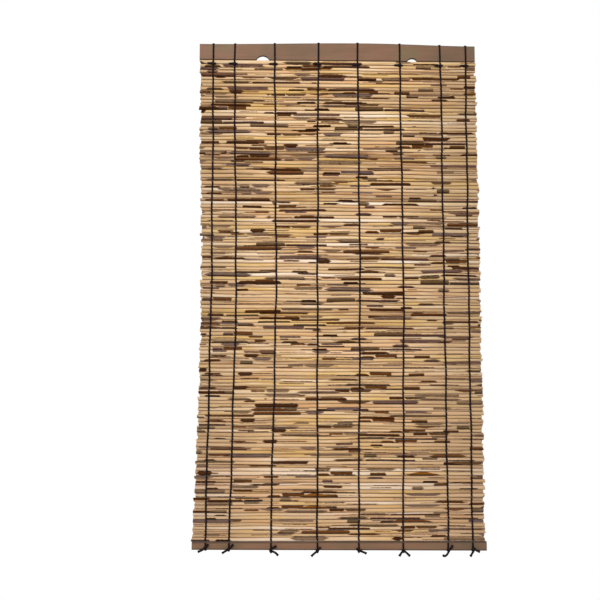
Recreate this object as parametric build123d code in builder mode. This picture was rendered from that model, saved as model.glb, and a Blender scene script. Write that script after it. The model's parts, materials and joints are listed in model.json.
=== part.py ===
from build123d import *
import math
import os
import random

# A hanging bamboo blind, in millimetres: thin reeds held side by side by eight
# pairs of string, between a flat top lath and a narrow bottom lath.
# X runs along the reeds, Y from the front to the back and Z up. The origin lies
# midway between the tops of the two hanging notches, in the lath's middle plane.

# Reeds, which bend as a mat between one band of reeds and the next
reed_length = 450.0
reed_diameter = 5.0
reed_variation = 0.2  # how much thicker or thinner a reed can be
reed_raggedness = 1.5  # how far a reed's ends stand out of line
reed_gap = 0.49
reed_sides = 12  # flat sides that stand for a reed's round
reeds_in_band = 6
band_count = 23
sharpest_bend = 40.0  # degrees from one band to the next, in the middle of a roll

# Top lath, with a half-moon notch for a hook near each end
top_lath_shortfall = 1.5  # how far each of its ends lies inside the mat's
top_lath_height = 26.0
top_lath_thickness = 4.0
top_lath_edge = 0.8  # width of its bevelled edges
notch_inset = 103.0  # from the mat's end to the notch's centre line
notch_width = 21.0
notch_height = 6.5

# Bottom lath
bottom_lath_overhang = 0.5  # how far each of its ends stands out of the mat
bottom_lath_height = 12.0
bottom_lath_thickness = 5.0
bottom_lath_edge = 1.8

# Strings, one strand in front and one behind, in pairs measured from the mat's ends
edge_string_inset = 20.0
second_string_inset = 57.5
third_string_inset = 122.5
fourth_string_inset = 192.0
strand_width = 2.4
strand_thickness = 1.0
strand_clearance = 0.15
strand_bend_room = 0.35  # what the strands keep clear of each other at the sharpest bend

# Clearance of each lath from the bend line beside it
top_bend_gap = 0.15
bottom_bend_gap = 0.3

# Knots, one at the head of each string and one under the bottom lath
head_knot_length = 12.0
head_knot_height = 2.4
head_knot_depth = 1.4
head_knot_shift = -2.5  # to the left of its string
foot_knot_length = 8.0
foot_knot_diameter = 3.4
foot_knot_sides = 8
tail_length = 12.0  # from the knot's middle
tail_thickness = 1.8
tail_leans = ((-55,), (-46,), (16,), (-42,), (66,), (-36, 46), (-37,), (-16,))  # degrees

reed_pitch = reed_diameter + reed_gap
band_height = reeds_in_band * reed_pitch
strand_inner = reed_diameter / 2 + reed_variation / 2 + strand_clearance
strand_outer = strand_inner + strand_thickness
strand_end_gap = strand_outer * math.tan(math.radians(sharpest_bend / 2)) + strand_bend_room

top_lath_length = reed_length - 2 * top_lath_shortfall
bottom_lath_length = reed_length + 2 * bottom_lath_overhang
top_lath_low = -notch_height
top_lath_high = top_lath_low + top_lath_height
first_bend = top_lath_low - top_bend_gap
last_bend = first_bend - band_count * band_height
bottom_lath_high = last_bend - bottom_bend_gap
bottom_lath_low = bottom_lath_high - bottom_lath_height

string_insets = (edge_string_inset, second_string_inset, third_string_inset, fourth_string_inset)
left_strings = [inset - reed_length / 2 for inset in string_insets]
string_places = left_strings + [-place for place in reversed(left_strings)]

string_planes = [Plane.YZ.offset(place) for place in string_places]

dice = random.Random(11)


def reed_shape(reed):
    # The outer reeds of a band are never thick ones, so that bands clear each other in a roll.
    outer = reed in (0, reeds_in_band - 1)
    diameter = reed_diameter + dice.uniform(-reed_variation, 0 if outer else reed_variation)
    shift = dice.uniform(-reed_raggedness, reed_raggedness)
    length = reed_length + dice.uniform(-reed_raggedness, reed_raggedness)
    return diameter, shift, length


def finish(name, piece):
    piece.part.label = name
    export_step(piece.part, f"parts/{name}.step")


os.makedirs("parts", exist_ok=True)

# Top lath: a flat strip with two notches in its lower edge
notch_radius = (notch_width**2 / 4 + notch_height**2) / (2 * notch_height)
notch_place = reed_length / 2 - notch_inset
with BuildPart() as top_lath:
    with BuildSketch(Plane.YZ) as top_lath_section:
        with Locations((0, (top_lath_low + top_lath_high) / 2)):
            Rectangle(top_lath_thickness, top_lath_height)
        chamfer(top_lath_section.vertices(), length=top_lath_edge)
    extrude(amount=top_lath_length / 2, both=True)
    with BuildSketch(Plane.XZ):
        with Locations((-notch_place, -notch_radius), (notch_place, -notch_radius)):
            Circle(notch_radius)
    extrude(amount=top_lath_thickness, both=True, mode=Mode.SUBTRACT)
finish("top_lath", top_lath)

# The loop of each string over the top lath, open at the bottom
top_loop_inner = top_lath_thickness / 2 + strand_clearance
top_loop_outer = top_loop_inner + strand_thickness
top_loop_low = first_bend + strand_end_gap
top_loop_high = top_lath_high + strand_clearance
with BuildPart() as top_loops:
    with BuildSketch(*string_planes):
        with Locations((0, top_loop_low)):
            Rectangle(
                2 * top_loop_outer,
                top_loop_high + strand_thickness - top_loop_low,
                align=(Align.CENTER, Align.MIN),
            )
            Rectangle(
                2 * top_loop_inner,
                top_loop_high - top_loop_low,
                align=(Align.CENTER, Align.MIN),
                mode=Mode.SUBTRACT,
            )
    extrude(amount=strand_width / 2, both=True)
finish("top_loops", top_loops)

# Bands of reeds, with the strands of string in front of them and behind them
for band in range(band_count):
    band_high = first_bend - band * band_height

    with BuildPart() as reeds:
        for reed in range(reeds_in_band):
            diameter, shift, length = reed_shape(reed)
            with BuildSketch(Plane.YZ.offset(shift)):
                with Locations((0, band_high - (reed + 0.5) * reed_pitch)):
                    RegularPolygon(diameter / 2, reed_sides)
            extrude(amount=length / 2, both=True)
    finish(f"reeds_{band + 1:02d}", reeds)

    strand_middle = (strand_inner + strand_outer) / 2
    strand_place = band_high - band_height / 2
    with BuildPart() as strings:
        with BuildSketch(*string_planes):
            with Locations((-strand_middle, strand_place), (strand_middle, strand_place)):
                Rectangle(strand_thickness, band_height - 2 * strand_end_gap)
        extrude(amount=strand_width / 2, both=True)
    finish(f"strings_{band + 1:02d}", strings)

# Head knots: a bar across the front of each string, between the first two reeds
head_knot_middle = -(strand_outer + strand_clearance + head_knot_depth / 2)
head_knot_places = [
    (place + head_knot_shift, head_knot_middle, first_bend - reed_pitch) for place in string_places
]
with BuildPart() as head_knots:
    with Locations(*head_knot_places):
        Box(head_knot_length, head_knot_depth, head_knot_height)
finish("head_knots", head_knots)

# Bottom lath: a narrow flat strip
with BuildPart() as bottom_lath:
    with BuildSketch(Plane.YZ) as bottom_lath_section:
        with Locations((0, (bottom_lath_low + bottom_lath_high) / 2)):
            Rectangle(bottom_lath_thickness, bottom_lath_height)
        chamfer(bottom_lath_section.vertices(), length=bottom_lath_edge)
    extrude(amount=bottom_lath_length / 2, both=True)
finish("bottom_lath", bottom_lath)

# The loop of each string under the bottom lath, open at the top
foot_loop_inner = bottom_lath_thickness / 2 + strand_clearance
foot_loop_outer = foot_loop_inner + strand_thickness
foot_loop_low = bottom_lath_low - strand_clearance
foot_loop_high = last_bend - strand_end_gap
with BuildPart() as bottom_loops:
    with BuildSketch(*string_planes):
        with Locations((0, foot_loop_high)):
            Rectangle(
                2 * foot_loop_outer,
                foot_loop_high - foot_loop_low + strand_thickness,
                align=(Align.CENTER, Align.MAX),
            )
            Rectangle(
                2 * foot_loop_inner,
                foot_loop_high - foot_loop_low,
                align=(Align.CENTER, Align.MAX),
                mode=Mode.SUBTRACT,
            )
    extrude(amount=strand_width / 2, both=True)
finish("bottom_loops", bottom_loops)

# Foot knots: a bar under each loop, with the string's cut ends hanging from it
foot_knot_place = foot_loop_low - strand_thickness - strand_clearance - foot_knot_diameter / 2
with BuildPart() as foot_knots:
    with BuildSketch(*string_planes):
        with Locations((0, foot_knot_place)):
            RegularPolygon(foot_knot_diameter / 2, foot_knot_sides)
    extrude(amount=foot_knot_length / 2, both=True)
    for place, leans in zip(string_places, tail_leans):
        for lean in leans:
            turn = math.radians(lean)
            down = (math.sin(turn), 0, -math.cos(turn))
            with BuildSketch(Plane((place, 0, foot_knot_place), x_dir=(0, 1, 0), z_dir=down)):
                Rectangle(tail_thickness, tail_thickness)
            extrude(amount=tail_length)
finish("foot_knots", foot_knots)
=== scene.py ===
import json
import math
import random

import bpy
import numpy as np
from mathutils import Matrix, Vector


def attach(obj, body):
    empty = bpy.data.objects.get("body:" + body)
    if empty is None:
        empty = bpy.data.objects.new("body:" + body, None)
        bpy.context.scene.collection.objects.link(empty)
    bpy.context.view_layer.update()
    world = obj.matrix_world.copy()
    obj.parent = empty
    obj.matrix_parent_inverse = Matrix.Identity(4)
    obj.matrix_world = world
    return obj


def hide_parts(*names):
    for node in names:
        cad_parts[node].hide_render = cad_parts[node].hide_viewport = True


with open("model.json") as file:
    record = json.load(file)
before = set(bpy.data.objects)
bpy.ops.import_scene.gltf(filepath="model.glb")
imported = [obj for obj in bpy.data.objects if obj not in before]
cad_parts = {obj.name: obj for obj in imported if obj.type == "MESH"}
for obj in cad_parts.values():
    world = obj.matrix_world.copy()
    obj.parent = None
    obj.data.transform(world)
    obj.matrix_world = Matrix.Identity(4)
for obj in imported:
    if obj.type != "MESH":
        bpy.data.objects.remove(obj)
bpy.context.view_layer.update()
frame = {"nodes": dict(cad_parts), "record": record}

# A hanging bamboo blind, in metres: reeds held together by eight twined strings, between two laths.
# It takes its bends, reeds, strings and laths from the frame, and adds what the photo shows of
# them: uneven reeds with hollow ends and mottles, crossing strands, a bowed lath and tied knots.

MM = 0.001

# Bands and bends, read from the frame
JOINTS = frame["record"]["behaviour"]["joints"]
BENDS = [joint["pos_m"][2] for joint in JOINTS]
BANDS = [f"{number:02d}" for number in range(1, len(BENDS))]
SHARPEST = math.radians(max(joint["range_deg"][1] for joint in JOINTS))

# Reeds
REEDS_IN_BAND = 6
REED_STATIONS = 72
REED_SIDES = 14
REED_SHARE_SPREAD = 0.2  # how unevenly the reeds of a band share its height
REED_SHARE_LIMITS = (0.7, 1.3)
REED_SHARE_WAVES = (1.5, 3.5)  # waves along a reed
REED_TOUCH = 0.03 * MM  # gap between two reeds of one band
BEND_ROOM = 1.02  # how much further from the bend line than the sharpest bend needs
DEPTH_WANDER = 0.16 * MM
OUTER_REED_WANDER = 0.2  # the share of it that the reeds beside a bend line have
DEPTH_WAVES = (0.6, 1.6)  # waves along a reed
TONE_MIDDLE, TONE_SPREAD = 0.5, 0.24
BORE_SHARE = 0.34  # a reed's hollow, as a share of its radius
BORE_FLOOR_SHARE = 0.8  # its floor, as a share of its mouth
BORE_DEPTH = 3.0 * MM
RIM_SHARE = 0.9  # a cut end's flat face, as a share of the reed's radius
RIM_BEVEL = 0.25 * MM
END_SLANT = 0.3  # the steepest slope of a cut end
# The darkness of a hollow is painted shade.
BORE_SHADE = (1.0, 0.6)  # how dark a hollow is at its floor and at its mouth
CANE_JOINT_SWELL = 0.035
CANE_JOINT_LENGTH = 2.2 * MM
CANE_JOINT_START = (0.02, 0.2)  # place of the first joint of a cane, from its left end
CANE_JOINT_PITCH = (0.14, 0.26)
# How far the mat's two sides are drawn in, at equal steps from its top to its bottom, in mm
LEFT_DRAWN_IN = (3, 5, 8.5, 9, 5.5, 0.5)
RIGHT_DRAWN_IN = (5, 3.5, 3, 2.5, 2.5, 2.5)

# Strings
MAT_WIDTH = 450 * MM
STRING_HALF_WIDTH = 1.4 * MM
STRING_HALF_DEPTH = 0.58 * MM
STRING_LEAST_HALF_DEPTH = 0.2 * MM  # beside a bend line, where a strand hugs its reed
STRING_WAIST = 0.74  # the share of its width that a strand has at a crossing
STRING_SWELL = 0.32  # what it gains between two crossings
STRING_ROUNDNESS = 0.75  # the less, the more squarely a strand goes round a reed
STRING_STAND = 1.05 * MM  # how far a strand's outer face stands off a reed
STAND_TO_HALF_DEPTH = 1.8  # that distance beside a bend line, over the strand's half depth
STRING_SIDES = 8
STRING_STEPS = 8  # rings from one crossing to the next
TWINE_SWING = 0.5 * MM  # how far the two strands pass each other at a crossing
# How far each string strays from its line at the mat's top, middle and bottom, in mm
STRING_STRAY = (
    (4, 5, 0),
    (0, 6.5, -1),
    (0, 4, -3),
    (0, -1, -1),
    (-2, 0, -4),
    (-4, -1, -5),
    (-3, -2, -1),
    (0, -1, -1),
)
# Waves of each string: their size, how fast they turn down the mat, and their shift per string
STRING_WAVES = ((0.5 * MM, 31.0, 2.9), (0.3 * MM, 83.0, 1.0))

dice = random.Random(23)


def solids_of(node):
    """The low and high corners of each separate solid of a CAD node, from the top down."""
    mesh = frame["nodes"][node].data
    places = [tuple(round(value, 6) for value in vertex.co) for vertex in mesh.vertices]
    links = {place: set() for place in places}
    for edge in mesh.edges:
        a, b = (places[vertex] for vertex in edge.vertices)
        links[a].add(b)
        links[b].add(a)
    seen = set()
    boxes = []
    for start in links:
        if start in seen:
            continue
        group, waiting = [], [start]
        seen.add(start)
        while waiting:
            place = waiting.pop()
            group.append(place)
            fresh = links[place] - seen
            seen |= fresh
            waiting.extend(fresh)
        points = np.array(group)
        boxes.append((points.min(axis=0), points.max(axis=0)))
    return sorted(boxes, key=lambda box: -(box[0][2] + box[1][2]))


STRINGS = sorted((low[0] + high[0]) / 2 for low, high in solids_of("top_loops"))


class Mesh:
    """Collects tubes, and makes one object of them."""

    def __init__(self):
        self.points, self.faces, self.sharp, self.values = [], [], [], {}
        self.count = 0

    def rings(self, rings, **values):
        """Joins rings of points, an array of shape (rings, sides, 3), into a tube with closed ends.

        The points of a ring turn as a right-hand screw does that goes on to the next ring.
        """
        number, sides, _ = rings.shape
        first = self.count
        self.points.append(rings.reshape(-1, 3))
        self.count += number * sides
        for ring in range(number - 1):
            base = first + ring * sides
            for side in range(sides):
                after = (side + 1) % sides
                self.faces.append((base + side, base + after, base + sides + after, base + sides + side))
        last = first + (number - 1) * sides
        self.faces.append(tuple(first + side for side in reversed(range(sides))))
        self.faces.append(tuple(last + side for side in range(sides)))
        for name, value in values.items():
            self.values.setdefault(name, []).append(np.broadcast_to(value, (number, sides)).reshape(-1))

    def sharpen(self, ring_start, sides):
        """Marks the edges of one ring as sharp."""
        for side in range(sides):
            self.sharp.append((ring_start + side, ring_start + (side + 1) % sides))

    def build(self, name, material):
        mesh = bpy.data.meshes.new(name)
        mesh.from_pydata(np.concatenate(self.points).tolist(), [], self.faces)
        mesh.polygons.foreach_set("use_smooth", [True] * len(mesh.polygons))
        if self.sharp:
            wanted = {tuple(sorted(pair)) for pair in self.sharp}
            for edge in mesh.edges:
                if tuple(sorted(edge.vertices)) in wanted:
                    edge.use_edge_sharp = True
        for key, parts in self.values.items():
            attribute = mesh.attributes.new(key, "FLOAT", "POINT")
            attribute.data.foreach_set("value", np.concatenate(parts).astype(np.float32))
        mesh.update()
        piece = bpy.data.objects.new(name, mesh)
        piece.data.materials.append(material)
        bpy.context.scene.collection.objects.link(piece)
        return piece


def dress(piece, body, node):
    """Puts a finished piece on its body, in place of the CAD node that it stands for."""
    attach(piece, body)
    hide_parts(node)


# Materials


class Nodes:
    """A short way to write a material's nodes."""

    def __init__(self, name):
        self.material = bpy.data.materials.new(name)
        self.material.use_nodes = True
        self.tree = self.material.node_tree
        self.shader = self.tree.nodes["Principled BSDF"]

    def add(self, kind, inputs=None, **settings):
        node = self.tree.nodes.new(kind)
        for key, value in settings.items():
            setattr(node, key, value)
        for key, value in (inputs or {}).items():
            self.put(node.inputs[key], value)
        return node

    def put(self, socket, value):
        if isinstance(value, bpy.types.NodeSocket):
            self.tree.links.new(value, socket)
        else:
            socket.default_value = value

    def maths(self, operation, a, b=0.0, clamp=False):
        node = self.add("ShaderNodeMath", {0: a, 1: b}, operation=operation)
        node.use_clamp = clamp
        return node.outputs[0]

    def plus(self, a, b):
        return self.maths("ADD", a, b)

    def minus(self, a, b):
        return self.maths("SUBTRACT", a, b)

    def times(self, a, b):
        return self.maths("MULTIPLY", a, b)

    def mix(self, factor, a, b):
        node = self.add("ShaderNodeMix", data_type="RGBA")
        self.put(node.inputs[0], factor)
        self.put(node.inputs[6], a)
        self.put(node.inputs[7], b)
        return node.outputs[2]

    def ramp(self, factor, stops):
        node = self.add("ShaderNodeValToRGB", {0: factor})
        ramp = node.color_ramp
        while len(ramp.elements) < len(stops):
            ramp.elements.new(0.5)
        for element, (place, colour) in zip(ramp.elements, stops):
            element.position = place
            element.color = colour
        return node.outputs[0]

    def step(self, value, low, high, most=1.0, least=0.0):
        """Goes smoothly from the least to the most, while the value goes from low to high."""
        inputs = {0: value, 1: low, 2: high, 3: least, 4: most}
        return self.add("ShaderNodeMapRange", inputs, interpolation_type="SMOOTHSTEP").outputs[0]

    def attribute(self, name):
        return self.add("ShaderNodeAttribute", attribute_name=name).outputs["Fac"]

    def place(self):
        return self.add("ShaderNodeTexCoord").outputs["Object"]

    def coordinates(self, place):
        return self.add("ShaderNodeSeparateXYZ", {0: place}).outputs

    def stretched(self, place, x, y, z):
        node = self.add("ShaderNodeVectorMath", {0: place, 1: (x, y, z)}, operation="MULTIPLY")
        return node.outputs[0]

    def noise(self, place, detail=2.0, rough=0.5, w=None):
        inputs = {"Vector": place, "Scale": 1.0, "Detail": detail, "Roughness": rough}
        node = self.add("ShaderNodeTexNoise", inputs)
        if w is not None:
            node.noise_dimensions = "4D"
            self.put(node.inputs["W"], w)
        return node.outputs[0]

    def lengths(self, along):
        """Cuts a line into uneven lengths.

        Each has three random values and a place, and the last result says how near its end is.
        """
        cells = []
        for feature in ("F1", "DISTANCE_TO_EDGE"):
            inputs = {"W": along, "Scale": 1.0, "Randomness": 1.0}
            cell = self.add("ShaderNodeTexVoronoi", inputs, voronoi_dimensions="1D", feature=feature)
            cells.append(cell.outputs)
        parts = self.add("ShaderNodeSeparateColor", {0: cells[0]["Color"]}).outputs
        return parts[0], parts[1], parts[2], cells[0]["W"], cells[1]["Distance"]

    def surface(self, colour, roughness, specular):
        self.put(self.shader.inputs["Base Color"], colour)
        self.put(self.shader.inputs["Roughness"], roughness)
        self.put(self.shader.inputs["Specular IOR Level"], specular)

    def bump(self, height, strength, distance):
        inputs = {"Height": height, "Strength": strength, "Distance": distance}
        self.put(self.shader.inputs["Normal"], self.add("ShaderNodeBump", inputs).outputs[0])


def srgb(red, green, blue):
    """A colour as it looks, 0 to 255, in the linear values that a shader takes."""
    values = [value / 255 for value in (red, green, blue)]
    linear = [((v + 0.055) / 1.055) ** 2.4 if v > 0.04 else v / 12.92 for v in values]
    return (*linear, 1.0)


CANE_TONES = (
    (0.0, srgb(160, 122, 84)),
    (0.25, srgb(190, 152, 108)),
    (0.5, srgb(210, 173, 128)),
    (0.72, srgb(220, 186, 144)),
    (0.88, srgb(230, 202, 168)),
    (1.0, srgb(238, 218, 194)),
)
MOTTLE_TONES = (
    (0.0, srgb(54, 26, 4)),
    (0.2, srgb(82, 45, 13)),
    (0.38, srgb(104, 62, 28)),
    (0.5, srgb(108, 74, 56)),
    (0.62, srgb(100, 80, 78)),
    (0.74, srgb(136, 106, 80)),
    (0.86, srgb(104, 84, 56)),
    (0.94, srgb(86, 47, 10)),
    (1.0, srgb(138, 86, 30)),
)
LATH_TONES = (
    (0.3, srgb(108, 86, 62)),
    (0.44, srgb(121, 91, 66)),
    (0.56, srgb(131, 94, 70)),
    (0.7, srgb(122, 100, 70)),
)
STRING_TONES = ((0.0, srgb(7, 3, 4)), (0.6, srgb(19, 10, 12)), (1.0, srgb(36, 21, 23)))

RED_CANE = srgb(218, 162, 108)
GOLDEN_CANE = srgb(220, 178, 96)
CANE_GRAIN = srgb(150, 110, 74)
# Pale streaks, partly the cane's own and partly painted highlight
CANE_STREAK_AND_HIGHLIGHT = srgb(242, 222, 192)
WEATHERED_SIDE = srgb(156, 132, 104)
WEATHERED_FOOT = srgb(178, 138, 106)
MOTTLE_PATCH = srgb(50, 26, 8)
# Painted shade on a mottle's lower half
MOTTLE_UNDERSIDE_SHADE = srgb(44, 20, 4)
# The grooves between reeds: partly dirt and partly painted shade, darkest beside mottles
GROOVE_DIRT_AND_SHADE = srgb(88, 44, 4)
STAINED_GROOVE_AND_SHADE = srgb(34, 15, 3)
# Painted shade inside a reed's hollow ends
REED_HOLLOW_SHADE = srgb(60, 42, 30)
LATH_RIGHT_END = srgb(78, 70, 54)
LATH_TOP = srgb(78, 60, 52)
LATH_GRAIN = srgb(92, 66, 50)
# A lath's edges and notch rims: partly a stain and partly painted shade
LATH_EDGE_STAIN_AND_SHADE = srgb(46, 32, 26)
STRING_FUZZ = srgb(60, 42, 42)

REED_SPECULAR, LATH_SPECULAR, STRING_SPECULAR = 0.06, 0.3, 0.1
STRING_ROUGHNESS, STRING_SHEEN = 0.85, 0.06

# Mottles: into how many lengths a metre of reed is cut, the share of them that is dark, and the
# least and greatest half height of a mottle, where a reed's radius is 1
MOTTLES = (
    (28, 0.27, 0.12, 0.32),  # thin lines
    (38, 0.2, 0.4, 1.1),  # short patches
    (17, 0.2, 0.5, 1.4),  # long patches
)


# In the materials, a reed's key is a random value of its own. The large factors by which it is
# multiplied only make its random values differ from each other and from other reeds'.


def clean_cane(n, place, key, grain):
    """The colour of a reed without its mottles and dirt."""
    # Each reed has its own tone, which drifts along its length.
    drift = n.noise(n.stretched(place, 9, 60, 60), w=n.times(key, 17.0), detail=1.0)
    drift = n.times(n.minus(drift, 0.5), 1.3)
    colour = n.ramp(n.maths("ADD", n.attribute("tone"), drift, clamp=True), CANE_TONES)

    # Parts of it are redder or more golden.
    hue = n.noise(n.stretched(place, 6, 40, 40), w=n.times(key, 41.0), detail=1.0)
    colour = n.mix(n.step(hue, 0.52, 0.68, 0.5), colour, RED_CANE)
    colour = n.mix(n.step(hue, 0.48, 0.34, 0.6), colour, GOLDEN_CANE)

    # Fine dark grain runs along it, and pale streaks that are partly the cane's own and partly painted
    # highlight.
    colour = n.mix(n.step(grain, 0.5, 0.75, 0.3), colour, CANE_GRAIN)
    streak_and_highlight = n.noise(n.stretched(place, 26, 1100, 1100), detail=1.0)
    colour = n.mix(n.step(streak_and_highlight, 0.54, 0.7, 0.5), colour, CANE_STREAK_AND_HIGHLIGHT)

    # It is weathered towards the mat's two sides and its foot.
    x, _, z = n.coordinates(place)
    side = n.maths("ABSOLUTE", n.plus(x, 0.02))
    colour = n.mix(n.step(side, 0.08, 0.24, 0.46), colour, WEATHERED_SIDE)
    return n.mix(n.step(z, -0.5, -0.75, 0.3), colour, WEATHERED_FOOT)


def add_mottles(n, place, key, rise, colour):
    """The colour with the mottles on it, and how far each point is stained by them."""
    behind = n.maths("GREATER_THAN", n.attribute("depth"), 0.0)
    side_key = n.plus(n.times(key, 211.0), n.times(behind, 37.0))
    ragged = n.minus(n.noise(n.stretched(place, 260, 700, 700)), 0.5)
    patchy = n.noise(n.stretched(place, 90, 600, 600))

    # Some parts of the mat and some reeds have more mottles than others.
    crowd = n.noise(n.stretched(place, 5, 9, 9), detail=1.0)
    crowd = n.times(n.minus(crowd, 0.5), 0.3)
    own = n.maths("FRACT", n.times(key, 9.0))
    crowd = n.plus(crowd, n.times(n.minus(own, 0.5), 0.16))

    stained = 0.0
    for per_metre, share, low, high in MOTTLES:
        along = n.plus(n.times(n.coordinates(place)[0], float(per_metre)), side_key)
        along = n.plus(along, per_metre * 50.0)
        along = n.plus(along, n.times(ragged, 0.004 * per_metre))
        chance, middle, height, point, edge = n.lengths(along)
        pick = n.add("ShaderNodeTexWhiteNoise", {"W": point}, noise_dimensions="1D")
        pick = n.add("ShaderNodeSeparateColor", {0: pick.outputs["Color"]})
        is_dark = n.maths("LESS_THAN", chance, n.plus(crowd, share))

        # A mottle's edges are ragged, and its ends are blunt or run out to a point.
        middle = n.times(n.minus(middle, 0.5), 1.5)
        height = n.plus(low, n.times(height, high - low))
        blunt = n.plus(3.0, n.times(n.maths("POWER", pick.outputs[1], 2.0), 40.0))
        height = n.maths("MINIMUM", height, n.times(edge, blunt))
        away = n.maths("ABSOLUTE", n.minus(rise, middle))
        away = n.plus(away, n.times(ragged, 0.5))
        cover = n.step(n.minus(height, away), -0.06, 0.1)
        cover = n.times(is_dark, cover)

        # It is patchy, and has painted shade on the reed's lower half.
        dark = n.ramp(pick.outputs[0], MOTTLE_TONES)
        dark = n.mix(n.step(patchy, 0.45, 0.7, 0.4), dark, MOTTLE_PATCH)
        dark = n.mix(n.step(rise, 0.1, -0.6, 0.65), dark, MOTTLE_UNDERSIDE_SHADE)
        colour = n.mix(cover, colour, dark)
        stained = n.maths("MAXIMUM", stained, cover)
    return colour, stained


def reed_material():
    n = Nodes("reed")
    place = n.place()
    key = n.attribute("key")
    rise = n.attribute("rise")
    grain = n.noise(n.stretched(place, 40, 1500, 1500), detail=3.0, rough=0.6)
    colour = clean_cane(n, place, key, grain)
    colour, stained = add_mottles(n, place, key, rise, colour)

    # Dirt and painted shade in the grooves between reeds, and painted shade in the hollow ends
    groove = n.maths("MAXIMUM", n.times(rise, 0.93), n.times(rise, -1.0))
    dirt_and_shade = n.noise(n.stretched(place, 14, 240, 0), detail=1.0)
    dirt_and_shade = n.maths("MAXIMUM", n.step(dirt_and_shade, 0.35, 0.65, 1.0, 0.45), stained)
    dirt_and_shade_colour = n.mix(stained, GROOVE_DIRT_AND_SHADE, STAINED_GROOVE_AND_SHADE)
    colour = n.mix(n.times(n.step(groove, 0.7, 0.97), dirt_and_shade), colour, dirt_and_shade_colour)
    # Painted shade in the hollow ends
    colour = n.mix(n.times(n.attribute("across"), 0.85), colour, REED_HOLLOW_SHADE)

    n.surface(colour, n.plus(0.46, n.times(grain, 0.22)), REED_SPECULAR)
    n.bump(grain, 0.35, 0.2 * MM)
    return n.material


def lath_material():
    n = Nodes("lath")
    place = n.place()
    x, _, z = n.coordinates(place)
    grain = n.noise(n.stretched(place, 18, 900, 700), detail=4.0, rough=0.65)
    colour = n.ramp(n.noise(n.stretched(place, 14, 60, 30)), LATH_TONES)
    # The right ends are greyer, and the top lath is a little darker than the bottom one.
    colour = n.mix(n.step(x, 0.06, 0.22, 0.4), colour, LATH_RIGHT_END)
    colour = n.mix(n.step(z, -0.7, 0.0, 0.14), colour, LATH_TOP)
    colour = n.mix(n.step(grain, 0.45, 0.72, 0.35), colour, LATH_GRAIN)
    # Its edges and notch rims are darker, partly by a stain and partly by painted shade.
    colour = n.mix(n.times(n.attribute("rim"), 0.85), colour, LATH_EDGE_STAIN_AND_SHADE)
    n.surface(colour, n.plus(0.48, n.times(grain, 0.2)), LATH_SPECULAR)
    n.bump(grain, 0.4, 0.2 * MM)
    return n.material


def string_material():
    n = Nodes("string")
    place = n.place()
    fuzz = n.noise(n.stretched(place, 900, 900, 900), detail=3.0)
    inputs = {"Vector": n.stretched(place, 1.0, 1.0, 0.7), "Scale": 420.0, "Distortion": 3.0}
    turns = n.add("ShaderNodeTexWave", inputs, wave_type="BANDS", bands_direction="DIAGONAL")
    turns = turns.outputs[1]
    colour = n.mix(n.step(fuzz, 0.5, 0.8, 0.25), n.ramp(turns, STRING_TONES), STRING_FUZZ)
    n.surface(colour, STRING_ROUGHNESS, STRING_SPECULAR)
    n.put(n.shader.inputs["Sheen Weight"], STRING_SHEEN)
    n.bump(n.plus(turns, n.times(fuzz, 0.5)), 0.6, 0.3 * MM)
    return n.material


REED = reed_material()
LATH = lath_material()
STRING = string_material()


# Reeds: each band's six share its height, and lean and taper a little from end to end


def down_the_mat(values, height):
    """Reads a value off a list that runs evenly from the mat's top to its bottom."""
    share = (BENDS[0] - height) / (BENDS[0] - BENDS[-1])
    return float(np.interp(share, np.linspace(0, 1, len(values)), values))


def drifting_share():
    """A reed's share of its band's height, as it drifts along the reed from left to right."""
    along = np.linspace(0, 1, REED_STATIONS)
    left, right = dice.uniform(-1, 1), dice.uniform(-1, 1)
    value = left + (right - left) * along
    for waves in REED_SHARE_WAVES:
        value += dice.uniform(-0.5, 0.5) * np.sin(2 * math.pi * (waves * along + dice.random()))
    return np.clip(1 + REED_SHARE_SPREAD * value, *REED_SHARE_LIMITS)


def band_shapes(top, bottom):
    """Height of the centre and radius of each reed of a band, at each station."""
    shares = np.array([drifting_share() for _ in range(REEDS_IN_BAND)])
    # An outer reed keeps clear of the bend line by what the sharpest bend needs.
    outer = BEND_ROOM / math.cos(SHARPEST / 2)
    height = top - bottom - (REEDS_IN_BAND - 1) * REED_TOUCH
    whole = 2 * shares.sum(axis=0) + (outer - 1) * (shares[0] + shares[-1])
    radii = shares * height / whole
    centres = np.empty_like(radii)
    level = np.full(REED_STATIONS, top)
    for reed in range(REEDS_IN_BAND):
        above = outer if reed == 0 else 1.0
        centres[reed] = level - radii[reed] * above
        level = centres[reed] - radii[reed] - REED_TOUCH
    return centres, radii


def joint_swell(x, low_x, high_x):
    """Small swellings where the cane has its joints, as a share of the radius."""
    swell = np.zeros_like(x)
    place = low_x + dice.uniform(*CANE_JOINT_START)
    while place < high_x:
        swell += CANE_JOINT_SWELL * np.exp(-(((x - place) / CANE_JOINT_LENGTH) ** 2))
        place += dice.uniform(*CANE_JOINT_PITCH)
    return swell


def end_rings(ring, outward):
    """The floor and mouth of a reed's hollow and the rim round it, from the reed's last ring.

    The ring is first slanted, as the reed is cut.
    """
    ring[:, 0] += (ring[:, 2] - ring[:, 2].mean()) * dice.uniform(-END_SLANT, END_SLANT)
    middle = ring.mean(axis=0)
    stages = ((BORE_SHARE * BORE_FLOOR_SHARE, -BORE_DEPTH), (BORE_SHARE, 0.0), (RIM_SHARE, RIM_BEVEL))
    result = []
    for share, shift in stages:
        stage = middle + (ring - middle) * share
        stage[:, 0] = ring[:, 0] + outward * shift
        result.append(stage)
    return result


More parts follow.
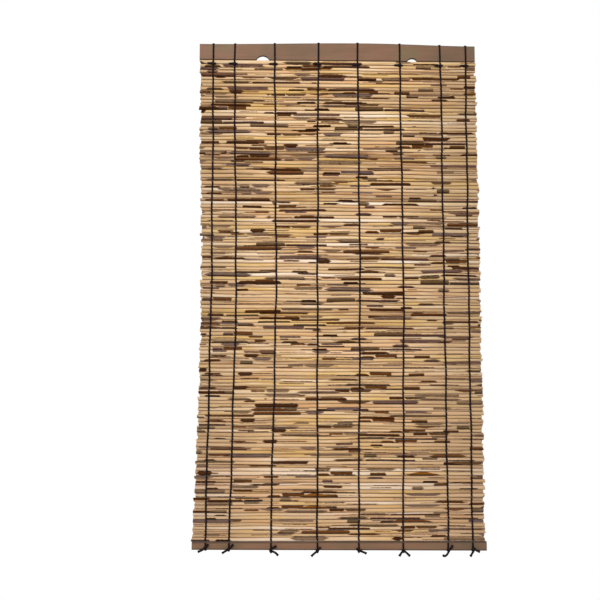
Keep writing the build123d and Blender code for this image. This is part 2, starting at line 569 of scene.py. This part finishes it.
def add_reed(mesh, low_x, high_x, centre, radius, ridge_top, ridge_bottom, depth_share):
    """One reed with hollow ends.

    A ridge is the height of the bend line that it reaches, or None.
    """
    along = np.linspace(0, 1, REED_STATIONS)
    x = low_x + (high_x - low_x) * along
    angle = np.arange(REED_SIDES) * 2 * math.pi / REED_SIDES
    up, back = np.cos(angle), -np.sin(angle)
    wave = np.sin(2 * math.pi * (along * dice.uniform(*DEPTH_WAVES) + dice.random()))
    depth = depth_share * DEPTH_WANDER * wave
    swell = joint_swell(x, low_x, high_x)
    key = dice.random()
    tone = min(max(dice.gauss(TONE_MIDDLE, TONE_SPREAD), 0.0), 1.0)

    rings = np.empty((REED_STATIONS, REED_SIDES, 3))
    rings[:, :, 0] = x[:, None]
    rings[:, :, 1] = depth[:, None] + back * radius[:, None] * (1 + swell[:, None])
    rings[:, :, 2] = centre[:, None] + up * radius[:, None]
    # At a bend line the reed comes to a low ridge, which closes the gap and clears the bend.
    if ridge_top is not None:
        rings[:, 0, 2] = ridge_top - REED_TOUCH / 2
    if ridge_bottom is not None:
        rings[:, REED_SIDES // 2, 2] = ridge_bottom + REED_TOUCH / 2

    left = end_rings(rings[0], -1)
    right = end_rings(rings[-1], 1)
    whole = np.concatenate([left, rings, right[::-1]])
    # How much painted shade each ring of a hollow end has
    across = np.zeros((len(whole), REED_SIDES))
    for ring, dark in enumerate(BORE_SHADE):
        across[ring] = across[-1 - ring] = dark
    first = mesh.count
    mesh.rings(whole, key=key, tone=tone, across=across, rise=up[None, :], depth=back[None, :])
    # At each end the hollow's mouth and both edges of the bevel are sharp.
    for ring in (1, 2, 3, len(whole) - 4, len(whole) - 3, len(whole) - 2):
        mesh.sharpen(first + ring * REED_SIDES, REED_SIDES)


def make_band(number):
    top, bottom = BENDS[number], BENDS[number + 1]
    name = BANDS[number]
    centres, radii = band_shapes(top, bottom)
    mesh = Mesh()
    for reed, (low, high) in enumerate(solids_of(f"reeds_{name}")):
        height = (low[2] + high[2]) / 2
        first, last = reed == 0, reed == REEDS_IN_BAND - 1
        add_reed(
            mesh,
            low[0] + down_the_mat(LEFT_DRAWN_IN, height) * MM,
            high[0] - down_the_mat(RIGHT_DRAWN_IN, height) * MM,
            centres[reed],
            radii[reed],
            top if first else None,
            bottom if last else None,
            OUTER_REED_WANDER if first or last else 1.0,
        )
    dress(mesh.build(f"cane_{name}", REED), f"band_{name}", f"reeds_{name}")
    return centres, radii


# Strings: two strands that change places in every gap between reeds


def tube(mesh, path, half_width, half_depth, hint=(1.0, 0.0, 0.0), steady=True):
    """A flattened tube along a path.

    The hint is the direction of its width, all along it if it is steady, or else where it starts.
    """
    path = np.asarray(path, dtype=float)
    half_width = np.broadcast_to(half_width, len(path))
    half_depth = np.broadcast_to(half_depth, len(path))
    ahead = np.gradient(path, axis=0)
    ahead /= np.linalg.norm(ahead, axis=1)[:, None]
    angle = np.arange(STRING_SIDES) * 2 * math.pi / STRING_SIDES
    across = np.array(hint)
    rings = np.empty((len(path), STRING_SIDES, 3))
    for step, (point, forward) in enumerate(zip(path, ahead)):
        if steady:
            across = np.array(hint)
        across = across - forward * np.dot(across, forward)
        across /= np.linalg.norm(across)
        out = np.cross(forward, across)
        rings[step] = (
            point
            + np.outer(np.cos(angle) * half_width[step], across)
            + np.outer(np.sin(angle) * half_depth[step], out)
        )
    mesh.rings(rings)


def smooth(points, steps):
    """A smooth path through the given points, with so many steps from one to the next."""
    points = np.asarray(points, dtype=float)
    padded = np.vstack([2 * points[0] - points[1], points, 2 * points[-1] - points[-2]])
    path = []
    for a, b, c, d in zip(padded[:-3], padded[1:-2], padded[2:-1], padded[3:]):
        for step in range(steps):
            t = step / steps
            straight = 2 * b + (c - a) * t
            curved = (2 * a - 5 * b + 4 * c - d) * t**2 + (3 * b - a - 3 * c + d) * t**3
            path.append((straight + curved) / 2)
    path.append(points[-1])
    return np.array(path)


def string_place(index, height):
    """Where a string is from left to right, at a height."""
    stray = down_the_mat(STRING_STRAY[index], height) * MM
    wander = sum(size * math.sin(pace * height + shift * index) for size, pace, shift in STRING_WAVES)
    return STRINGS[index] + stray + wander


def crossings(number, shapes, place):
    """Heights of a band's crossings, and the centres and radii of its reeds, at one string."""
    centres, radii = shapes
    station = round((place / MAT_WIDTH + 0.5) * (REED_STATIONS - 1))
    z, r = centres[:, station], radii[:, station]
    between = [(z[i] - r[i] + z[i + 1] + r[i + 1]) / 2 for i in range(REEDS_IN_BAND - 1)]
    return [BENDS[number], *between, BENDS[number + 1]], z, r


def room_at_bend(turn, radius):
    """How far a strand may stand off a reed beside a bend line, at an angle from the line's side."""
    centre = radius * BEND_ROOM / math.cos(SHARPEST / 2)
    limit = centre / (math.cos(turn) + math.tan(SHARPEST / 2) * math.sin(turn))
    return min(STRING_STAND, limit - radius - REED_TOUCH)


def add_strand(mesh, number, index, strand, crossing):
    """One strand of a string along a band, in front of one reed and behind the next."""
    gaps, centres, radii = crossing
    path, widths, depths = [], [], []
    for reed in range(REEDS_IN_BAND):
        side = -1 if (reed + number * REEDS_IN_BAND + strand) % 2 == 0 else 1
        high, low = gaps[reed], gaps[reed + 1]
        first, last = reed == 0, reed == REEDS_IN_BAND - 1
        steps = STRING_STEPS * 3 // 2 if first or last else STRING_STEPS
        for step in range(steps + 1 if last else steps):
            turn = math.pi * step / steps
            upper = turn < math.pi / 2
            if (first and upper) or (last and not upper):
                # Beside a bend line it hugs the reed, so that the bands don't pinch it.
                stand = room_at_bend(turn if upper else math.pi - turn, radii[reed])
                depth = max(stand / STAND_TO_HALF_DEPTH, STRING_LEAST_HALF_DEPTH)
                depth = min(depth, STRING_HALF_DEPTH)
                reach = radii[reed] + stand - depth
                level = centres[reed] + reach * math.cos(turn)
                bulge = side * reach * math.sin(turn)
            else:
                depth = STRING_HALF_DEPTH
                level = (high + low) / 2 + (high - low) / 2 * math.cos(turn)
                reach = radii[reed] + STRING_STAND - depth
                bulge = side * reach * math.sin(turn) ** STRING_ROUNDNESS
            swing = TWINE_SWING * side * math.cos(turn)
            path.append((string_place(index, level) + swing, bulge, level))
            widths.append(STRING_HALF_WIDTH * (STRING_WAIST + STRING_SWELL * math.sin(turn)))
            depths.append(depth)
    tube(mesh, path, widths, depths)


def make_band_strings(number, shapes):
    name = BANDS[number]
    mesh = Mesh()
    for index, place in enumerate(STRINGS):
        crossing = crossings(number, shapes, place)
        for strand in (0, 1):
            add_strand(mesh, number, index, strand, crossing)
    dress(mesh.build(f"twine_{name}", STRING), f"band_{name}", f"strings_{name}")


shapes = [make_band(number) for number in range(len(BANDS))]
for number, shape in enumerate(shapes):
    make_band_strings(number, shape)


# Laths: strips of wood with soft edges, the top one with two notches and a slight bow
LATH_STATIONS = 60
NOTCH_STATIONS = 25
TOP_EDGE, FOOT_EDGE = 0.7 * MM, 1.8 * MM  # radii of their rounded edges
CORNER_POINTS = 3
# The dark of the edges is partly a stain and partly painted shade.
LATH_RIM = 0.8 * MM  # how far the dark of an edge reaches onto a lath's faces
EDGE_STAIN_AND_SHADE, NOTCH_STAIN_AND_SHADE = 0.7, 1.0
BESIDE_BEND = 1 * MM  # an edge nearer than this to its bend line has a ridge
BESIDE_NOTCH = 1 * MM  # how near to a notch a lath's even stations may come


def lath_section(x, low, high, half_thickness, radius, low_rim, high_rim, ridges):
    """A rounded oblong at one place along a lath, with how much stain and painted shade each of its
    points has.

    The ridges are the heights to which its lower and upper edge rise in their middle.
    """
    points, rims = [], []
    corners = ((1, low, -90), (1, high, 0), (-1, high, 90), (-1, low, 180))
    for corner, (side, level, turn) in enumerate(corners):
        inward = 1 if level == low else -1
        for step in range(CORNER_POINTS):
            angle = math.radians(turn + 90 * step / (CORNER_POINTS - 1))
            y = side * (half_thickness - radius) + radius * math.cos(angle)
            z = level + inward * radius + radius * math.sin(angle)
            points.append((x, y, z))
            rims.append(low_rim if level == low else high_rim)
        if corner in (1, 3):
            points.append((x, 0.0, ridges[0] if level == low else ridges[1]))
            rims.append(1.0)
        else:
            # The face between two corners, where the stain and painted shade of the edges ends
            ends = [low + radius + LATH_RIM, high - radius - LATH_RIM]
            for z in ends if level == low else reversed(ends):
                points.append((x, side * half_thickness, z))
                rims.append(0.0)
    return points, rims


def make_lath(node, body, bend, left, right, low_at, high_at, half_thickness, radius, notches=()):
    """A lath between two places, with its lower and upper edge as functions of the place."""
    stations = set(np.linspace(left, right, LATH_STATIONS).tolist())
    for middle, half, _ in notches:
        stations = {x for x in stations if abs(x - middle) > half + BESIDE_NOTCH}
        stations |= set(np.linspace(middle - half, middle + half, NOTCH_STATIONS).tolist())
    rings, rims = [], []
    for x in sorted(stations):
        in_notch = any(abs(x - middle) < half for middle, half, _ in notches)
        low, high = low_at(x), high_at(x)
        # Its edge beside a bend line has a low ridge, as the reeds have.
        low_ridge = bend + REED_TOUCH if bend < low < bend + BESIDE_BEND else low
        high_ridge = bend - REED_TOUCH if bend - BESIDE_BEND < high < bend else high
        points, rim = lath_section(
            x,
            low,
            high,
            half_thickness,
            radius,
            NOTCH_STAIN_AND_SHADE if in_notch else EDGE_STAIN_AND_SHADE,
            EDGE_STAIN_AND_SHADE,
            (low_ridge, high_ridge),
        )
        rings.append(points)
        rims.append(rim)
    mesh = Mesh()
    mesh.rings(np.array(rings), rim=np.array(rims))
    sides = len(rims[0])
    mesh.sharpen(0, sides)
    mesh.sharpen((len(rings) - 1) * sides, sides)
    dress(mesh.build(f"{node}_wood", LATH), body, node)


# Middle, half width and height of each notch; the right one is cut less deep
NOTCHES = ((-122 * MM, 10.5 * MM, 6.5 * MM), (119 * MM, 7.8 * MM, 4.4 * MM))
TOP_LATH_BOW = 3.4 * MM
TOP_LATH_CREST = 40 * MM  # where its upper edge is highest
TOP_LATH_SHORTFALL = 3 * MM  # at its right end
FOOT_DROP = 2.0 * MM  # how much lower the bottom lath's lower edge is at its right end


def extent(node):
    """The low and high corners of a CAD node."""
    mesh = frame["nodes"][node].data
    points = np.array([list(vertex.co) for vertex in mesh.vertices])
    return points.min(axis=0), points.max(axis=0)


TOP_LOW, TOP_HIGH = extent("top_lath")
FOOT_LOW, FOOT_HIGH = extent("bottom_lath")


def top_lath_low(x):
    for middle, half, rise in NOTCHES:
        if abs(x - middle) < half:
            radius = (half**2 + rise**2) / (2 * rise)
            return TOP_LOW[2] + rise - radius + math.sqrt(radius**2 - (x - middle) ** 2)
    return TOP_LOW[2]


def top_lath_high(x):
    reach = (TOP_HIGH[0] - TOP_LOW[0]) / 2 + TOP_LATH_CREST * (1 if x < TOP_LATH_CREST else -1)
    return TOP_HIGH[2] + TOP_LATH_BOW * math.cos((x - TOP_LATH_CREST) / reach * math.pi / 2) ** 2


def foot_lath_low(x):
    return FOOT_LOW[2] - FOOT_DROP * (x - FOOT_LOW[0]) / (FOOT_HIGH[0] - FOOT_LOW[0])


def foot_lath_high(x):
    return FOOT_HIGH[2]


TOP_HALF, FOOT_HALF = TOP_HIGH[1], FOOT_HIGH[1]  # half their thicknesses
make_lath(
    "top_lath",
    "head",
    bend=BENDS[0],
    left=TOP_LOW[0],
    right=TOP_HIGH[0] - TOP_LATH_SHORTFALL,
    low_at=top_lath_low,
    high_at=top_lath_high,
    half_thickness=TOP_HALF,
    radius=TOP_EDGE,
    notches=NOTCHES,
)
make_lath(
    "bottom_lath",
    "foot",
    bend=BENDS[-1],
    left=FOOT_LOW[0],
    right=FOOT_HIGH[0],
    low_at=foot_lath_low,
    high_at=foot_lath_high,
    half_thickness=FOOT_HALF,
    radius=FOOT_EDGE,
)


# Loops of the strings round the laths
LOOP_ROOM = 0.1 * MM
LOOP_LEAN = 0.5 * MM
LOOP_BUMP_LENGTH = 2.2 * MM
LOOP_TAPER_LENGTH = 2.5 * MM  # from the bend line, where a loop is half as thick
# Heights from the bend line at which a loop sets out, is half way out and is on the lath's face
HEAD_STARTS = (0.7 * MM, 0.9 * MM, 2.2 * MM)
FOOT_STARTS = (0.7 * MM, 1.6 * MM, 3.2 * MM)


def add_loop(mesh, index, bend, edge, half_thickness, starts, bump):
    """A loop from a bend line round a lath's far edge and back, thicker by the bump at that edge."""
    x = string_place(index, bend)
    way = 1 if edge > bend else -1
    out = half_thickness + LOOP_ROOM + STRING_HALF_DEPTH
    tip = edge + way * (LOOP_ROOM + STRING_HALF_DEPTH)
    # How far in front of the lath's middle it is, at each height
    front = [
        (0.0, bend + way * starts[0]),
        (0.6 * out, bend + way * starts[1]),
        (out, bend + way * starts[2]),
        (out, bend + (edge - bend) * 0.5),
        (out, edge - way * 1.5 * MM),
        (0.72 * out, edge + way * 0.2 * MM),
        (0.0, tip),
    ]
    back = [(-y, z) for y, z in reversed(front[:-1])]
    lean = dice.uniform(-LOOP_LEAN, LOOP_LEAN) / (edge - bend)
    path = smooth([(x + lean * (z - bend), -y, z) for y, z in front + back], 4)
    near_tip = np.clip(1 - np.abs(path[:, 2] - tip) / LOOP_BUMP_LENGTH, 0, 1)
    near_bend = np.clip(1 - np.abs(path[:, 2] - bend) / LOOP_TAPER_LENGTH, 0, 1)
    grow = 1 + bump * near_tip
    tube(mesh, path, STRING_HALF_WIDTH * grow, STRING_HALF_DEPTH * grow * (1 - 0.5 * near_bend))


loops = Mesh()
for index in range(len(STRINGS)):
    edge = top_lath_high(STRINGS[index])
    add_loop(loops, index, BENDS[0], edge, TOP_HALF, HEAD_STARTS, dice.uniform(0.35, 0.6))
dress(loops.build("head_twine", STRING), "head", "top_loops")

loops = Mesh()
for index in range(len(STRINGS)):
    add_loop(loops, index, BENDS[-1], foot_lath_low(STRINGS[index]), FOOT_HALF, FOOT_STARTS, 0.15)
dress(loops.build("foot_twine", STRING), "foot", "bottom_loops")


# Head knots: a bar of string between the first two reeds, mostly to the left, and a turn round it
HEAD_BAR = ((-9.4, -2.9), (-7, -3.2), (-3, -3.6), (0, -4.0), (2.8, -3.6), (4.6, -3.0))  # x, y in mm
HEAD_BAR_TILT = 0.12
HEAD_BAR_HALF_WIDTH, HEAD_BAR_HALF_DEPTH = 1.8 * MM, 1.1 * MM
HEAD_TURN = ((-3.0, 2.4), (-4.3, 1.2), (-4.8, 0.0), (-4.3, -1.2), (-3.0, -2.4))  # y, z in mm
HEAD_TURN_WANDER = 0.3  # in mm
HEAD_TURN_HALF_WIDTH, HEAD_TURN_HALF_DEPTH = 2.2 * MM, 0.75 * MM


def add_head_knot(mesh, index, shapes):
    gaps, _, _ = crossings(0, shapes, STRINGS[index])
    z = gaps[1]
    x = string_place(index, z)
    tilt = dice.uniform(-HEAD_BAR_TILT, HEAD_BAR_TILT)
    path = smooth([(x + along * MM, y * MM, z + tilt * along * MM) for along, y in HEAD_BAR], 4)
    # It is thickest in its middle.
    grow = np.clip(0.62 + 0.5 * np.sin(np.linspace(0.1, 3.0, len(path))), 0.6, 1.1)
    tube(mesh, path, HEAD_BAR_HALF_WIDTH * grow, HEAD_BAR_HALF_DEPTH * grow, hint=(0.0, 0.0, 1.0))
    points = []
    for y, level in HEAD_TURN:
        wander = dice.uniform(-HEAD_TURN_WANDER, HEAD_TURN_WANDER)
        points.append((x + wander * MM, y * MM, z + level * MM))
    tube(mesh, smooth(points, 3), HEAD_TURN_HALF_WIDTH, HEAD_TURN_HALF_DEPTH)


knots = Mesh()
for index in range(len(STRINGS)):
    add_head_knot(knots, index, shapes[0])
dress(knots.build("head_ties", STRING), "band_01", "head_knots")


# Foot knots, with the cut ends of each string: across and up from the lath's lower edge, in mm
FOOT_ENDS = (
    (((0, 4), (-3, 1.5), (-7, -0.8), (-11, -2.3)), ((0.5, 3), (2.5, 6), (4.6, 9))),
    (((0, 1), (-4, -0.5), (-8, -3), (-10, -4.3)), ((0.5, 2), (4, 5.5), (6.4, 9))),
    (((0, -1), (4, -2), (8, -4.5), (10.7, -7.5)), ((0.5, 1), (4, 4.5), (8.5, 6.5))),
    (((0, -1), (-3, -3), (-6.5, -6), (-9, -8.5)), ((0.5, 0), (3, 2.5), (5, 5))),
    (((0, 0.5), (4, -1), (8, -2.6), (11.6, -4.2)), ((0, 0), (-2, 1.5), (-3.5, 3.5))),
    (((0, 0.5), (-2.5, -2.5), (-6, -8)), ((0, 0.5), (4.6, -2.6), (10, -7.8))),
    (((6.2, 9), (5, 5.5), (1.5, 1.2), (-1, -3.5), (-3.4, -6.8), (-6.5, -8), (-8, -6.2)),),
    (((0, 0), (-1.5, -3.5), (-4.2, -8.3)), ((0.5, 5), (4, 1.5), (8, -0.5), (9.8, -1.4))),
)
FOOT_KNOT_LEVELS = (3, 1.5, -0.8, -0.5, 0, 0, 1, 1)  # middle of each knot, likewise
FOOT_KNOT_SIZE = 0.75 * MM
FOOT_KNOT_FLATNESS = 0.8
FOOT_KNOT_STEPS = 36
FOOT_KNOT_PLACE = 4.6 * MM  # how far in front of the lath's middle
FOOT_KNOT_HALF_WIDTH, FOOT_KNOT_HALF_DEPTH = 1.3 * MM, 1.1 * MM  # of its string
# How far in front of the lath's middle a cut end is, by its height over the lath's lower edge, in mm
FOOT_END_HEIGHTS = (-8, -1, 2, 14)
FOOT_END_PLACES = (2.6, 3.8, 4.6, 4.6)
FOOT_END_RADIUS = 1.65 * MM
FOOT_END_FRAY = 0.25  # how much thicker it is at its tip


def add_foot_knot(mesh, x, z):
    """A small three-lobed knot."""
    path = []
    for step in range(FOOT_KNOT_STEPS + 1):
        t = 2 * math.pi * step / FOOT_KNOT_STEPS
        across = FOOT_KNOT_FLATNESS * (math.sin(t) + 2 * math.sin(2 * t))
        out = FOOT_KNOT_FLATNESS * math.sin(3 * t)
        up = math.cos(t) - 2 * math.cos(2 * t)
        path.append((
            x + FOOT_KNOT_SIZE * across,
            -FOOT_KNOT_PLACE - FOOT_KNOT_SIZE * out,
            z + FOOT_KNOT_SIZE * up,
        ))
    tube(mesh, path, FOOT_KNOT_HALF_WIDTH, FOOT_KNOT_HALF_DEPTH, steady=False)


def add_foot_end(mesh, x, edge, points):
    path = []
    for along, up in points:
        depth = np.interp(up, FOOT_END_HEIGHTS, FOOT_END_PLACES)
        path.append((x + along * MM, -depth * MM, edge + up * MM))
    path = smooth(path, 6)
    tip = np.clip((np.arange(len(path)) - len(path) + 5) / 4, 0, 1)
    radius = FOOT_END_RADIUS * (1 + FOOT_END_FRAY * tip)
    tube(mesh, path, radius, radius, hint=(0.0, 1.0, 0.0))


knots = Mesh()
for index, ends in enumerate(FOOT_ENDS):
    x = string_place(index, BENDS[-1])
    edge = foot_lath_low(x)
    add_foot_knot(knots, x, edge + FOOT_KNOT_LEVELS[index] * MM)
    for points in ends:
        add_foot_end(knots, x, edge, points)
dress(knots.build("foot_ties", STRING), "foot", "foot_knots")


# Stage: a pale floor well under the hanging blind, and a white world
FLOOR_HEIGHT = -1.15
FLOOR_REACH = 12.0
PALE = (0.9, 0.9, 0.9, 1.0)
WHITE = (1.0, 1.0, 1.0, 1.0)
WORLD_STRENGTH = 0.55


def look_white(tree, shader, white, output):
    """Shows the white shader to the camera and in gloss, while the other one lights the scene."""
    ray = tree.nodes.new("ShaderNodeLightPath")
    either = tree.nodes.new("ShaderNodeMath")
    either.operation = "MAXIMUM"
    both = tree.nodes.new("ShaderNodeMixShader")
    tree.links.new(ray.outputs["Is Camera Ray"], either.inputs[0])
    tree.links.new(ray.outputs["Is Glossy Ray"], either.inputs[1])
    tree.links.new(either.outputs[0], both.inputs[0])
    tree.links.new(shader.outputs[0], both.inputs[1])
    tree.links.new(white.outputs[0], both.inputs[2])
    tree.links.new(both.outputs[0], output.inputs[0])


def make_stage():
    mesh = bpy.data.meshes.new("floor")
    corners = [(-1, -1), (1, -1), (1, 1), (-1, 1)]
    mesh.from_pydata([(FLOOR_REACH * x, FLOOR_REACH * y, 0) for x, y in corners], [], [(0, 1, 2, 3)])
    floor = bpy.data.objects.new("floor", mesh)
    floor.location.z = FLOOR_HEIGHT
    bpy.context.scene.collection.objects.link(floor)
    material = bpy.data.materials.new("floor")
    material.use_nodes = True
    tree = material.node_tree
    diffuse = tree.nodes["Principled BSDF"]
    diffuse.inputs["Base Color"].default_value = PALE
    diffuse.inputs["Roughness"].default_value = 0.9
    look_white(tree, diffuse, tree.nodes.new("ShaderNodeEmission"), tree.nodes["Material Output"])
    floor.data.materials.append(material)


def make_world():
    world = bpy.data.worlds.new("world")
    bpy.context.scene.world = world
    world.use_nodes = True
    tree = world.node_tree
    light = tree.nodes["Background"]
    light.inputs[0].default_value = WHITE
    light.inputs[1].default_value = WORLD_STRENGTH
    white = tree.nodes.new("ShaderNodeBackground")
    white.inputs[0].default_value = WHITE
    look_white(tree, light, white, tree.nodes["World Output"])


# Lamps, turned to the blind's middle: name, place, size and power
MIDDLE = Vector((0.0, 0.0, -0.38))
LAMPS = (
    ("key", (-0.9, -1.6, 1.1), 1.2, 35.0),
    ("fill", (1.6, -1.5, 0.0), 1.6, 9.0),
    ("back", (0.6, 1.8, 0.9), 1.6, 18.0),
)


def make_lamp(name, place, size, power):
    lamp = bpy.data.lights.new(name, "AREA")
    lamp.size = size
    lamp.energy = power
    holder = bpy.data.objects.new(name, lamp)
    holder.location = place
    holder.rotation_euler = (MIDDLE - Vector(place)).to_track_quat("-Z", "Y").to_euler()
    bpy.context.scene.collection.objects.link(holder)


# Camera: low and a little to the left, tilted up, as the photo was taken
CAMERA_PLACE = (-0.0856, -1.3019, -0.5149)
CAMERA_PITCH, CAMERA_ROLL, CAMERA_YAW = 5.31, 0.12, -1.08  # degrees
CAMERA_LENS, CAMERA_SENSOR = 50, 36  # mm


def make_camera():
    data = bpy.data.cameras.new("camera")
    data.lens = CAMERA_LENS
    data.sensor_width = CAMERA_SENSOR
    data.sensor_fit = "HORIZONTAL"
    camera = bpy.data.objects.new("camera", data)
    camera.location = CAMERA_PLACE
    camera.rotation_mode = "XYZ"
    angles = (90 + CAMERA_PITCH, -CAMERA_ROLL, CAMERA_YAW)
    camera.rotation_euler = [math.radians(angle) for angle in angles]
    bpy.context.scene.collection.objects.link(camera)
    bpy.context.scene.camera = camera


make_stage()
make_world()
for lamp in LAMPS:
    make_lamp(*lamp)
make_camera()
bpy.context.scene.view_settings.view_transform = "Standard"
